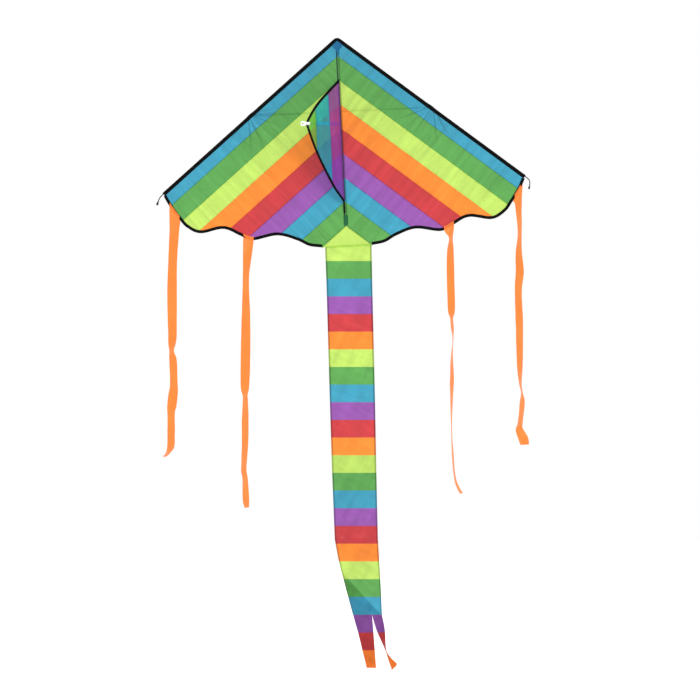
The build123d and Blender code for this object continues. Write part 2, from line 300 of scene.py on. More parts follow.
def pleatHeight(tree, where, turn, across, along):
    # long folds that lean by turn degrees from upright
    aim = addNode(
        tree,
        "Mapping",
        {"Rotation": (0, radians(turn), 0), "Scale": (across, 1, along), "Vector": where},
        vector_type="TEXTURE",
    )
    folds = addNode(
        tree,
        "TexNoise",
        {
            "Scale": 1.0, "Detail": 2.0, "Roughness": 0.5, "Distortion": 0.3,
            "Vector": aim.outputs["Vector"],
        },
    )
    return folds.outputs["Fac"]


def fanned(tree, where, colour, centre, reach, darkest):
    # painted shade of stretch creases: darker lines that run out from a point and fade
    away = addNode(tree, "VectorMath", {1: centre, 0: where}, operation="SUBTRACT")
    parts = addNode(tree, "SeparateXYZ", {"Vector": away.outputs["Vector"]})
    angle = addNode(tree, "Math", {0: parts.outputs["X"], 1: parts.outputs["Z"]}, operation="ARCTAN2")
    rays = addNode(
        tree, "TexNoise", {"Scale": 5.0, "Detail": 2.0, "W": angle.outputs[0]}, noise_dimensions="1D"
    )
    sharp = addNode(
        tree, "MapRange", {"From Min": 0.5, "From Max": 0.66, "Value": rays.outputs["Fac"]},
        interpolation_type="SMOOTHSTEP",
    )
    length = addNode(tree, "VectorMath", {0: away.outputs["Vector"]}, operation="LENGTH")
    fade = addNode(
        tree,
        "MapRange",
        {"From Max": reach, "To Min": 1.0, "To Max": 0.0, "Value": length.outputs["Value"]},
        interpolation_type="SMOOTHSTEP",
    )
    both = addNode(
        tree, "Math", {0: sharp.outputs["Result"], 1: fade.outputs["Result"]}, operation="MULTIPLY"
    )
    return tinted(tree, both.outputs[0], colour, 1.0, darkest, 0.0, 1.0)


def fabricFinish(
    name, colour, thread=0.0005, glow=0.36, seeThrough=0.18, rough=0.5, sheen=0.1, shine=0.35,
    creaseDepth=0.0018, weaveDepth=0.00006, pleats=(), shadedNear=None, strainShade=None,
):
    # woven polyester: threads, packing creases, pleats with painted fold shade and highlight, uneven dye,
    # painted shade near a point and along stretch creases, light through it
    finish, tree, body = newFinish(name)
    where = addNode(tree, "TexCoord").outputs["Object"]
    tint = mottled(tree, where, colour, 16.0, 0.92, 1.06)
    tint = mottled(tree, where, tint, 1400.0, 0.93, 1.05, 1.0)

    creases = addNode(
        tree,
        "TexNoise",
        {"Scale": 38.0, "Detail": 4.0, "Roughness": 0.55, "Distortion": 0.6, "Vector": where},
    )
    crumple = addNode(
        tree, "Bump", {"Strength": 0.5, "Distance": creaseDepth, "Height": creases.outputs["Fac"]}
    )
    for turn, across, along, depth, low, high in pleats:
        folds = pleatHeight(tree, where, turn, across, along)
        # painted shade and highlight: the colour darkens and lightens with the folds
        tint = tinted(tree, folds, tint, low, high)
        deeper = addNode(
            tree,
            "Bump",
            {"Strength": 0.8, "Distance": depth, "Height": folds, "Normal": crumple.outputs["Normal"]},
        )
        crumple = deeper
    if shadedNear:
        # painted shade: the cloth is darker towards this point
        reach = addNode(tree, "VectorMath", {1: shadedNear, 0: where}, operation="DISTANCE")
        tint = tinted(tree, reach.outputs["Value"], tint, 0.86, 1.05, 0.0, 0.5)
    if strainShade:
        # painted shade along stretch creases fanning out from a point
        tint = fanned(tree, where, tint, *strainShade)
    tree.links.new(tint, body.inputs["Base Color"])

    patchy = addNode(tree, "TexNoise", {"Scale": 60.0, "Detail": 2.0, "Vector": where})
    spread = addNode(
        tree, "MapRange", {"To Min": rough - 0.08, "To Max": rough + 0.1, "Value": patchy.outputs["Fac"]}
    )
    tree.links.new(spread.outputs["Result"], body.inputs["Roughness"])

    threads = addNode(
        tree,
        "Bump",
        {
            "Strength": 0.6, "Distance": weaveDepth, "Height": weaveHeight(tree, where, thread, 1.2),
            "Normal": crumple.outputs["Normal"],
        },
    )
    tree.links.new(threads.outputs["Normal"], body.inputs["Normal"])
    body.inputs["Sheen Weight"].default_value = sheen
    body.inputs["Sheen Roughness"].default_value = 0.4
    body.inputs["Specular IOR Level"].default_value = shine

    result = body.outputs[0]
    if glow:
        through = addNode(tree, "BsdfTranslucent", {"Color": tint, "Normal": crumple.outputs["Normal"]})
        share = addNode(tree, "MixShader", {0: glow, 1: result, 2: through.outputs[0]})
        result = share.outputs[0]
    if seeThrough:
        gaps = addNode(tree, "BsdfTransparent", {"Color": tuple(c**0.7 for c in colour[:3]) + (1,)})
        share = addNode(tree, "MixShader", {0: seeThrough, 1: result, 2: gaps.outputs[0]})
        result = share.outputs[0]
    tree.links.new(result, tree.nodes["Material Output"].inputs["Surface"])
    return finish


def rodFinish():
    # pultruded glass fibre: long streaks along the rod
    finish, tree, body = newFinish("glassFibreRod")
    where = addNode(tree, "TexCoord").outputs["Object"]
    tint = mottled(tree, where, dye("2B2C2E"), 220.0, 0.7, 1.5)
    tree.links.new(tint, body.inputs["Base Color"])
    streaks = addNode(tree, "TexNoise", {"Scale": 2600.0, "Detail": 2.0, "Vector": where})
    bump = addNode(tree, "Bump", {"Strength": 0.3, "Distance": 0.00005, "Height": streaks.outputs["Fac"]})
    tree.links.new(bump.outputs["Normal"], body.inputs["Normal"])
    gloss = addNode(tree, "MapRange", {"To Min": 0.28, "To Max": 0.45, "Value": streaks.outputs["Fac"]})
    tree.links.new(gloss.outputs["Result"], body.inputs["Roughness"])
    return finish


def mouldedFinish(name, colour, rough, grain, waxy=0.0):
    # moulded plastic or rubber with a fine grain and rubbed patches
    finish, tree, body = newFinish(name)
    where = addNode(tree, "TexCoord").outputs["Object"]
    tree.links.new(mottled(tree, where, colour, 300.0, 0.86, 1.08), body.inputs["Base Color"])
    cells = addNode(tree, "TexVoronoi", {"Scale": grain, "Vector": where})
    bump = addNode(
        tree, "Bump", {"Strength": 0.25, "Distance": 0.00006, "Height": cells.outputs["Distance"]}
    )
    tree.links.new(bump.outputs["Normal"], body.inputs["Normal"])
    rub = addNode(tree, "TexNoise", {"Scale": 420.0, "Detail": 3.0, "Vector": where})
    gloss = addNode(
        tree, "MapRange", {"To Min": rough - 0.1, "To Max": rough + 0.12, "Value": rub.outputs["Fac"]}
    )
    tree.links.new(gloss.outputs["Result"], body.inputs["Roughness"])
    if waxy:
        body.inputs["Subsurface Weight"].default_value = waxy
        body.inputs["Subsurface Radius"].default_value = (0.002, 0.002, 0.002)
    return finish


def braidFinish():
    # braided elastic sheath: two sets of slanted strands
    finish, tree, body = newFinish("braidedElastic")
    where = addNode(tree, "TexCoord").outputs["Object"]
    tree.links.new(mottled(tree, where, dye("0C0C0E"), 900.0, 0.7, 1.35), body.inputs["Base Color"])
    strands = weaveHeight(tree, where, 0.00045, 2.5)
    bump = addNode(tree, "Bump", {"Strength": 0.8, "Distance": 0.0001, "Height": strands})
    tree.links.new(bump.outputs["Normal"], body.inputs["Normal"])
    gloss = addNode(tree, "MapRange", {"To Min": 0.5, "To Max": 0.75, "Value": strands})
    tree.links.new(gloss.outputs["Result"], body.inputs["Roughness"])
    return finish


def floorFinish():
    finish, tree, body = newFinish("paleFloor")
    where = addNode(tree, "TexCoord").outputs["Object"]
    tree.links.new(mottled(tree, where, (0.93, 0.93, 0.93, 1), 0.8, 0.98, 1.0), body.inputs["Base Color"])
    body.inputs["Roughness"].default_value = 0.9
    body.inputs["Specular IOR Level"].default_value = 0.0
    return finish


setStudio()
print("studio: camera, light and floor are set")


# Sail plan, measured along each leading edge and in from it

sail = {
    "halfSpan": 0.500,
    "tipDrop": 0.7035 * 0.572,
    "apex": 0.0043,  # where the leading edges would meet, above the rounded nose
    "noseRadius": 0.0141,
    "seamDrop": 0.572,
    "gussetDrop": 0.516,
    "edgeTape": 0.011,
    "firstStrip": 0.042,
    "foldLine": 0.0059,  # each wing folds this far from the spine
    "colours": ["blue", "green", "lime", "orange", "red", "purple", "blue", "green"],
    "scallops": [
        (0.482, 0.438), (0.457, 0.475), (0.437, 0.499), (0.400, 0.517), (0.337, 0.508),
        (0.293, 0.528), (0.258, 0.543), (0.190, 0.533), (0.137, 0.549), (0.104, 0.566),
    ],
}
sweep = atan((sail["tipDrop"] + sail["apex"]) / sail["halfSpan"])
edgeLength = sail["halfSpan"] / cos(sweep)
gussetInset = (sail["apex"] + sail["gussetDrop"]) * cos(sweep)
stripWidth = (gussetInset - sail["firstStrip"]) / (len(sail["colours"]) - 1)
seamHalf = (sail["seamDrop"] + sail["apex"] - gussetInset / cos(sweep)) / tan(sweep)
sleeveEnd = edgeLength - 0.0015
sparInset = 0.0038


def sailPoint(side, along, inset, y=0.0):
    x = along * cos(sweep) - inset * sin(sweep)
    z = sail["apex"] - along * sin(sweep) - inset * cos(sweep)
    return Vector((side * x, y, z))


def fromNose(x, z):
    # (distance down the edge, distance in from it)
    return x * cos(sweep) + (
        sail["apex"] - z
    ) * sin(sweep), -x * sin(sweep) + (sail["apex"] - z) * cos(sweep)


trailingLine = smoothCurve(
    [(sail["halfSpan"], -sail["tipDrop"])] + [
        (x, -down) for x, down in sail["scallops"]
    ] + [(seamHalf, -sail["seamDrop"])]
)
trailingEdge = np.array([fromNose(x, z) for x, z in trailingLine])  # rows of (along, inset)


def foldAlong(inset):
    return (sail["foldLine"] + inset * sin(sweep)) / cos(sweep)


def hemAlong(inset):
    return float(np.interp(inset, trailingEdge[:, 1], trailingEdge[:, 0]))


# Wing tip cords: elastic, tied round the spar ends, with a crimped seal on the free end

tipCord = {
    "radius": 0.0014,
    "length": {"left": 0.0325, "right": 0.0374},
    "steps": {  # out from the wing and down, from the spar cap
        "left": [(0, 0), (0.0072, -0.0062), (0.0126, -0.0150), (0.0170, -0.0270)],
        "right": [(0, 0), (0.0075, -0.0052), (0.0120, -0.0136), (0.0112, -0.0228), (0.0086, -0.0324)],
    },
}


def makeTipCord(wing, side, finish):
    start = sailPoint(side, edgeLength + 0.0001, sparInset)
    route = bpy.data.curves.new(f"tip_cord_{wing}_line", "CURVE")
    route.dimensions = "3D"
    spline = route.splines.new("NURBS")
    steps = tipCord["steps"][wing]
    spline.points.add(len(steps) - 1)
    for point, (out, down) in zip(spline.points, steps):
        point.co = (start.x + side * out, 0, start.z + down, 1)
    spline.order_u = 3
    spline.use_endpoint_u = True
    spline.resolution_u = 16
    route.bevel_depth = tipCord["radius"]
    route.bevel_resolution = 4
    route.use_fill_caps = True
    route.materials.append(finish)
    cord = bpy.data.objects.new(f"tip_cord_{wing}_elastic", route)
    bpy.context.scene.collection.objects.link(cord)
    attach(cord, f"wing_{wing}")
    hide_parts(f"tip_cord_{wing}")


braid = braidFinish()
for wing, side in wings.items():
    makeTipCord(wing, side, braid)
print("wing tip cords hang from the spar caps")


# Cloth, tape and hard finishes of the kite

wingPleatsAndShade = {  # lean in degrees, size across and along, depth, darkest, lightest; the last two paint fold shade and highlight
    wing: [
        (side * 39, 0.020, 0.34, 0.0040, 0.86, 1.09), (side * 44, 0.008, 0.10, 0.0012, 0.94, 1.04)
    ] for wing,
    side in wings.items()
}
# painted fold shade and highlight on the tail, columns as above
tailPleatsAndShade = [(28, 0.026, 0.15, 0.0040, 0.88, 1.08), (-62, 0.018, 0.12, 0.0024, 0.90, 1.06)]
cloth = {name: fabricFinish(f"{name}Taffeta", dye(code)) for name, code in dyes.items()}
wingCloth = {
    wing: {
        name: fabricFinish(
            # painted fold shade from the pleats, and painted shade darker towards the nose
            f"{name}Taffeta_{wing}", dye(code), pleats=wingPleatsAndShade[wing], shadedNear=(0, 0, 0),
            # painted shade along stretch creases from the spreader hook
            strainShade=((side * 0.254, 0, -0.200), 0.125, 0.5),
        )
        for name, code in dyes.items()
    }
    for wing, side in wings.items()
}
# painted light and shade: a lighter copy of each cloth for the tail's upper half, a darker one for its
# lower half
tailLitAndShadedCloth = {
    half: {
        name: fabricFinish(f"{name}Taffeta_{half}", dye(code, shade), pleats=tailPleatsAndShade)
        for name, code in dyes.items()
    }
    for half, shade in (("upper", 1.06), ("lower", 0.92))
}
hem = {
    name: fabricFinish(f"{name}Hem", dye(code, 0.5), seeThrough=0.0, glow=0.25)
    for name, code in dyes.items()
}
thread = {
    name: fabricFinish(
        f"{name}Thread", dye(code, 0.84), thread=0.0003, glow=0, seeThrough=0, rough=0.4, sheen=0.3
    )
    for name, code in dyes.items()
}
# the wings' dyes made lighter for the keel: painted light where the keel lies in shade; its pleats paint
# fold shade too
keelLitDyes = {"purple": "A858C0", "blue": "3AB8D2", "green": "7CC65A"}
keelLitCloth = {
    name: fabricFinish(
        f"{name}KeelTaffeta", dye(code), seeThrough=0.5, glow=0.35,
        pleats=[(-4, 0.020, 0.20, 0.0030, 0.84, 1.08)],
    )
    for name, code in keelLitDyes.items()
}
blackTape = fabricFinish(
    "blackTape", dye("060607"), thread=0.0008, glow=0, seeThrough=0, rough=0.75, sheen=0.0, shine=0.08,
    creaseDepth=0.0006, weaveDepth=0.0002,
)
whiteTape = fabricFinish(
    "whiteTape", dye("F2F4F6"), thread=0.0008, glow=0.15, seeThrough=0, rough=0.6, creaseDepth=0.0004,
    weaveDepth=0.0002,
)
ribbon = fabricFinish(
    "orangeRibbon", dye("FF8334"), thread=0.0006, glow=0.3, seeThrough=0.04, rough=0.45, sheen=0.35,
    creaseDepth=0.0009,
)
noseBlue = fabricFinish("noseReinforcement", dye("0C6590"), seeThrough=0.04, glow=0.2)
footGreen = fabricFinish("footReinforcement", dye("0F6338"), seeThrough=0.04, glow=0.2)
spineCloth = fabricFinish("spineSleeveCloth", dye("1C5448"), seeThrough=0.04, glow=0.15)
spinePiping = fabricFinish("spinePiping", dye("0A2222"), seeThrough=0.0, glow=0.1)
darkThread = fabricFinish(
    "darkThread", dye("14161A"), thread=0.0003, glow=0, seeThrough=0, rough=0.6, sheen=0.1, shine=0.1
)
glassFibre = rodFinish()
blackPlastic = mouldedFinish("blackPlastic", dye("1B1C1E"), 0.42, 2200.0)
whitePlastic = mouldedFinish("whitePlastic", dye("F4F6F8"), 0.34, 1800.0, waxy=0.25)
sealRubber = mouldedFinish("sealedEnd", dye("0C0C0E"), 0.55, 2600.0)

hardParts = {
    "spine_rod": glassFibre, "spreader_bar": glassFibre, "wing_left_spar": glassFibre,
    "wing_right_spar": glassFibre,
    "spine_cap": blackPlastic, "wing_left_spar_cap": blackPlastic, "wing_right_spar_cap": blackPlastic,
    "spreader_hook_left": blackPlastic, "spreader_hook_right": blackPlastic,
    "tow_ring": whitePlastic, "tip_cord_end_left": sealRubber, "tip_cord_end_right": sealRubber,
}
for name, finish in hardParts.items():
    part = nodes[name]
    if not part.material_slots:
        part.data.materials.append(finish)
    for slot in part.material_slots:
        slot.material = finish
print("finishes mixed")


# How the wings' cloth lies: a simulated drape, the pull of the hooks, and fine gathers

drape = {
    "rows": 41,
    "columns": 60,
    "slack": 0.006,
    "frames": 22,
    "cap": 0.009,  # furthest the cloth may stand off its plane
    "gathers": 0.0022,
    "creases": {  # from, to, width, height towards the viewer
        "left": [
            ((0.252, -0.203), (0.060, -0.201), 0.0032, 0.0044),
            ((0.250, -0.207), (0.150, -0.300), 0.0045, -0.0036),
            ((0.254, -0.210), (0.196, -0.272), 0.0032, 0.0060),
            ((0.262, -0.214), (0.232, -0.270), 0.0030, 0.0054),
            ((0.246, -0.205), (0.120, -0.244), 0.0045, -0.0032),
            ((0.285, -0.236), (0.262, -0.290), 0.0040, 0.0020),
            ((0.120, -0.110), (0.060, -0.160), 0.0040, 0.0016),
        ],
        "right": [
            ((0.246, -0.200), (0.090, -0.202), 0.0035, 0.0024),
            ((0.248, -0.205), (0.160, -0.290), 0.0050, -0.0020),
            ((0.254, -0.209), (0.214, -0.262), 0.0035, 0.0022),
            ((0.180, -0.530), (0.040, -0.500), 0.0050, -0.0018),
            ((0.150, -0.300), (0.040, -0.330), 0.0050, 0.0012),
        ],
    },
}


def simulateWing(wing, side):
    # one loose sheet per wing, held along the spar, the spine and the gusset
    rows, columns = drape["rows"], drape["columns"]

    def place(u, v):
        inset = v * gussetInset
        along = foldAlong(inset) + u * (hemAlong(inset) - foldAlong(inset))
        start = 0.004 * sin(pi * u) * sin(pi * v) + 0.0015 * noiseAt(9 * u, 7 * v, side)
        return sailPoint(side, along, inset, start)

    sheet = makePiece(f"drape_{wing}", [gridPart(place, rows, columns)], [])
    held = sheet.vertex_groups.new(name="sewn")
    held.add(
        [r * columns + c for r in range(rows) for c in range(columns) if r < 2 or r == rows - 1 or c < 2],
        1.0,
        "REPLACE",
    )
    settings = sheet.modifiers.new("drape", "CLOTH").settings
    settings.quality = 6
    settings.mass = 0.04
    settings.tension_stiffness = 25
    settings.compression_stiffness = 25
    settings.shear_stiffness = 8
    settings.bending_stiffness = 0.02
    settings.air_damping = 2
    settings.shrink_min = -drape["slack"]
    settings.vertex_group_mass = "sewn"
    scene = bpy.context.scene
    for number in range(1, drape["frames"] + 1):
        scene.frame_set(number)
    hung = sheet.evaluated_get(bpy.context.evaluated_depsgraph_get())
    heights = np.array([v.co.y for v in hung.data.vertices]).reshape(rows, columns)
    scene.frame_set(1)
    bpy.data.objects.remove(sheet)
    return heights


def softened(grid):
    # a finer grid without the facets of the coarse one
    factor = 4
    rows = np.linspace(0, grid.shape[0] - 1, (grid.shape[0] - 1) * factor + 1)
    columns = np.linspace(0, grid.shape[1] - 1, (grid.shape[1] - 1) * factor + 1)
    fine = np.array([np.interp(columns, np.arange(grid.shape[1]), row) for row in grid])
    fine = np.array([np.interp(rows, np.arange(grid.shape[0]), column) for column in fine.T]).T
    for _ in range(3):
        padded = np.pad(fine, 2, mode="edge")
        fine = sum(padded[2:-2, i : i + fine.shape[1]] for i in range(5)) / 5
        padded = np.pad(fine, 2, mode="edge")
        fine = sum(padded[i : i + fine.shape[0], 2:-2] for i in range(5)) / 5
    return fine


lie = {}
for wing, side in wings.items():
    heights = simulateWing(wing, side)
    heights = drape["cap"] * np.tanh(heights / drape["cap"])
    lie[side] = softened(heights)
    print(
        f"{wing} wing cloth hung, {1000 * heights.min():.1f} to {1000 * heights.max():.1f} mm off its plane"
    )


def lieOf(side, along, inset):
    # how far the cloth stands off its plane here
    grid = lie[side]
    fold, hemmed = foldAlong(inset), hemAlong(inset)
    u = min(max((along - fold) / max(hemmed - fold, 1e-6), 0), 1) * (grid.shape[1] - 1)
    v = min(max(inset / gussetInset, 0), 1) * (grid.shape[0] - 1)
    c, r = min(int(u), grid.shape[1] - 2), min(int(v), grid.shape[0] - 2)
    u, v = u - c, v - r
    y = (grid[r, c] * (1 - u) + grid[r, c + 1] * u) * (1 - v) + (
        grid[r + 1, c] * (1 - u) + grid[r + 1, c + 1] * u
    ) * v
    point = sailPoint(1, along, inset)
    y *= 0.25 + 0.75 * ease((point.x - 0.05) / 0.16)  # tighter beside the keel
    if point.x < 0.27:
        y *= 1 - 0.6 * np.exp(-(((point.z + 0.202) / 0.045) ** 2))  # clear of the spreader
    wing = "left" if side < 0 else "right"
    for start, end, width, height in drape["creases"][wing]:
        far, off = besideLine(point.x, point.z, start, end)
        if 0 < far < 1:
            y -= height * np.exp(
                -((off / (width * (0.6 + far))) ** 2)
            ) * min(1, far / 0.08) * (1 - far) ** 0.8
    y *= 0.1 + 0.9 * ease((inset - 0.010) / 0.022)  # held down by the edge tape
    loose = ease((inset - 0.012) / 0.03) * ease((gussetInset - inset) / 0.03) * ease((along - fold) / 0.03)
    y += loose * drape["gathers"] * (
        noiseAt(along / 0.020, inset / 0.22, 7.3 * side)
        + 0.4 * noiseAt(along / 0.0085, inset / 0.10, 3.1 * side)
    )
    return float(y)


def onSail(side, along, inset, lift=0.0):
    # a point on the cloth, lifted towards the viewer
    return sailPoint(side, along, inset, lieOf(side, along, inset) - lift)


# Wing panels

def insetsOf(number):
    near = sail["edgeTape"] - 0.003 if number == 0 else sail["firstStrip"] + (number - 1) * stripWidth
    return near, sail["firstStrip"] + number * stripWidth


def gussetBlend(piece):
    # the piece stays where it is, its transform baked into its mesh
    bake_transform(piece)


def makePanels(wing, side):
    for number, colour in enumerate(sail["colours"]):
        near, far = insetsOf(number)
        columns = 150 if number == 0 else 120 - 8 * number

        def place(u, v):
            inset = near + v * (far - near)
            along = foldAlong(inset) + u * (hemAlong(inset) - 0.0008 - foldAlong(inset))
            return onSail(side, along, inset)

        panel = makePiece(
            f"wing_{wing}_panel_{number + 1}_{colour}",
            [gridPart(place, 14 if number == 0 else 11, columns)], [wingCloth[wing][colour]],
        )
        if number == len(sail["colours"]) - 1:
            gussetBlend(panel)
        else:
            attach(panel, f"wing_{wing}")
        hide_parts(f"wing_{wing}_strip_{number + 1}_{colour}")
        lengths = [hemAlong(i) - foldAlong(i) for i in np.linspace(near, far, 9)]


def makeSeams(wing, side):
    # felled seams between the panels, with a row of stitches on each
    bands, rows = [], []
    for number in range(len(sail["colours"]) - 1):
        inset = insetsOf(number)[1]
        start, end = foldAlong(inset), hemAlong(inset) - 0.002
        across = [
            (-0.0013, -0.00005), (-0.0009, -0.0004), (0.0, -0.0005), (0.0009, -0.0004), (0.0013, -0.00005)
        ]

        def place(u, v):
            step, lift = across[round(v * 4)]
            return onSail(side, start + u * (end - start), inset + step, lift)

        start += 0.008
        bands.append(gridPart(place, 5, int((end - start) / 0.006) + 2, number))
        path = [onSail(side, a, inset + 0.0008, 0.0001) for a in np.arange(start + 0.004, end, 0.012)]
        rows.append(stitchPart(path, (0, -1, 0), number))
    band = makePiece(f"wing_{wing}_felled_seams", bands, [wingCloth[wing][c] for c in sail["colours"][1:]])
    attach(band, f"wing_{wing}")
    stitches = makePiece(f"wing_{wing}_seam_stitches", rows, [thread[c] for c in sail["colours"][1:]])
    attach(stitches, f"wing_{wing}")


leadingEdge = {
    "profile": [  # inset and front height of the folded tape, round the spar and flat to its edge
        (0.0000, 0.0000), (0.0006, 0.0013), (0.0022, 0.0021), (0.0042, 0.0023), (0.0062, 0.0017),
        (0.0084, 0.0010), (0.0101, 0.0008), (0.0105, 0.0004),
    ],
    "hookAlong": (sail["apex"] + 0.353 * 0.572 - sparInset * cos(sweep)) / sin(sweep),
}


def noseRound(x):
    # how much the rounded nose takes off the pointed one
    r, x = sail["noseRadius"], abs(x)
    if x > r * sin(sweep):
        return 0.0
    return (-r + (r * r - x * x) ** 0.5) - (sail["apex"] - x * tan(sweep))


def makeLeadingEdge(wing, side):
    rings = []
    alongs = sorted(
        list(np.arange(0.0, sleeveEnd, 0.0045))
        + [sleeveEnd]
        + [leadingEdge["hookAlong"] + d for d in (-0.0070, -0.0062, 0.0062, 0.0070)]
    )
    for along in alongs:
        gap = ease((0.0072 - abs(along - leadingEdge["hookAlong"])) / 0.0008)
        bulge = 0.0011 * np.exp(-(((along - leadingEdge["hookAlong"]) / 0.009) ** 2))
        full = 1 + 0.10 * ease((along - edgeLength + 0.016) / 0.006)  # round the spar cap
        wander = 0.0004 * noiseAt(along / 0.03, 2.0, side)
        ring = []
        for inset, height in bothFaces(leadingEdge["profile"]):
            inset = inset * (1 + 30 * wander * (inset > 0.008))
            if height < 0:
                y = -height * full * (1 - gap) - max(-height - 0.0004, 0) * gap
                y *= ease((along - foldAlong(inset)) / 0.014)  # flat where the wing folds
            else:
                y = -height * full * (1 + 0.3 * gap) - 12 * wander * height
            point = sailPoint(side, max(along, foldAlong(inset)), inset - bulge * (1 - inset / 0.011), y)
            point.z += noseRound(point.x) * (1 - min(inset / 0.011, 1))
            ring.append(point)
        rings.append(ring)
    sleeve = makePiece(f"wing_{wing}_leading_edge_tape", [tubePart(rings)], [blackTape])
    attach(sleeve, f"wing_{wing}")
    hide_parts(f"wing_{wing}_edge_sleeve")
    path = [sailPoint(side, a, 0.0090, -0.0009) for a in np.arange(0.02, sleeveEnd - 0.003, 0.01)]
    row = makePiece(
        f"wing_{wing}_leading_edge_stitches", [stitchPart(path, (0, -1, 0), pitch=0.0038)], [darkThread]
    )
    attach(row, f"wing_{wing}")


def hemPath(fromInset, toInset):
    # points of the trailing edge with the direction into the sail
    keep = [i for i, (a, t) in enumerate(trailingEdge) if fromInset <= t <= toInset]
    line = [Vector((trailingLine[i][0], 0, trailingLine[i][1])) for i in keep]
    path = [line[0]]
    for point in line[1:]:
        if (point - path[-1]).length >= 0.005:
            path.append(point)
    path[-1] = line[-1]
    inward = []
    for i in range(len(path)):
        run = path[min(i + 1, len(path) - 1)] - path[max(i - 1, 0)]
        inward.append(Vector((run.z, 0, -run.x)).normalized())
    return list(zip(path, inward))


def makeTrailingEdge(wing, side):
    # bias tape folded over the scalloped hem, in two lengths: the short one beside the gusset
    section = [
        (-0.0002, 0.0), (0.0004, 0.0007), (0.0025, 0.0008), (0.0055, 0.0008), (0.0078, 0.0007),
        (0.0081, 0.0003),
    ]
    split = gussetInset - stripWidth
    for label, first, last in (
        ("outer", 0.0085, split + 0.002), ("inner", split - 0.002, gussetInset + 0.001)
    ):
        rings, row = [], []
        for point, inward in hemPath(first, last):
            ring = []
            for reach, height in bothFaces(section):
                at = point + inward * reach * (1 + 0.06 * noiseAt(point.x * 90, 1, side))
                along, inset = fromNose(at.x, at.z)
                y = lieOf(side, along, min(inset, gussetInset))
                ring.append(Vector((side * at.x, y - height, at.z)))
            rings.append(ring)
            at = point + inward * 0.0062
            along, inset = fromNose(at.x, at.z)
            row.append(Vector((side * at.x, lieOf(side, along, min(inset, gussetInset)) - 0.0008, at.z)))
        tape = makePiece(f"wing_{wing}_trailing_edge_tape_{label}", [tubePart(rings)], [blackTape])
        stitches = makePiece(
            f"wing_{wing}_trailing_edge_stitches_{label}", [stitchPart(row, (0, -1, 0), pitch=0.0038)],
            [darkThread],
        )
        for piece in (tape, stitches):
            if label == "inner":
                gussetBlend(piece)
            else:
                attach(piece, f"wing_{wing}")
        if label == "outer":
            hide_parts(f"wing_{wing}_edge_binding")


for wing, side in wings.items():
    makePanels(wing, side)
    makeSeams(wing, side)
    makeLeadingEdge(wing, side)
    makeTrailingEdge(wing, side)
    print(f"{wing} wing sewn")


# Spine: the cloth between the fold lines, its sleeve behind, the nose, the foot and the gusset

spine = {
    "sleeve": [
        (-0.0047, 0.0003), (-0.0041, 0.0006), (-0.0036, 0.0018), (-0.0030, 0.0036), (-0.0016, 0.0052),
        (0.0, 0.0056),
    ],
    "sleeveTop": -0.027,
    "sleeveFoot": -0.492,
    "piping": -0.0034,
    "pipingHalf": 0.0014,
    "pipingTop": -0.014,
    "pipingFoot": -0.488,
    "patchFoot": -0.030,
    "patchHalf": 0.013,
}


def edgeHeight(x, inset):
    return sail["apex"] - abs(x) * tan(sweep) - inset / cos(sweep)


def makeSpine():
    half = sail["foldLine"]
    parts = []
    for number in range(len(sail["colours"])):
        near, far = insetsOf(number)

        def place(u, v):
            x = half * (2 * u - 1)
            return x, 0.0, edgeHeight(x, near + v * (far - near))

        parts.append(gridPart(place, 9, 7, number))
    band = makePiece("spine_centre_cloth", parts, [cloth[c] for c in sail["colours"]])
    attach(band, "spine")

    outline = spine["sleeve"] + [(-x, y) for x, y in spine["sleeve"][::-1][1:]]

    def behind(u, v):
        x, y = outline[round(u * (len(outline) - 1))]
        z = spine["sleeveTop"] + v * (spine["sleeveFoot"] - spine["sleeveTop"])
        pinch = 0.00025 * noiseAt(z / 0.012, x * 400, 4)
        return x * (1 + 0.05 * noiseAt(z / 0.03, 1, 2)), y + pinch, z

    sleeve = makePiece("spine_sleeve_behind", [gridPart(behind, 110, len(outline))], [spineCloth])
    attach(sleeve, "spine")
    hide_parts("spine_sleeve")

    def pipingPart(middle, width, slot):
        def place(u, v):
            z = spine["pipingTop"] + v * (spine["pipingFoot"] - spine["pipingTop"])
            lift = 0.0002 + 0.0003 * sin(pi * u)
            return middle + width * (u - 0.5) + 0.0003 * noiseAt(z / 0.02, slot, 0), -lift, z
        return gridPart(place, 100, 5, 0)

    piping = makePiece(
        "spine_piping", [pipingPart(spine["piping"], 2 * spine["pipingHalf"], 0)], [spinePiping]
    )
    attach(piping, "spine")
    rows = [
        stitchPart([(x, -0.00035, z) for z in np.arange(-0.016, -0.487, -0.01)], (0, -1, 0))
        for x in (spine["piping"], 0.0034)
    ]
    stitches = makePiece("spine_stitches", rows, [spinePiping])
    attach(stitches, "spine")


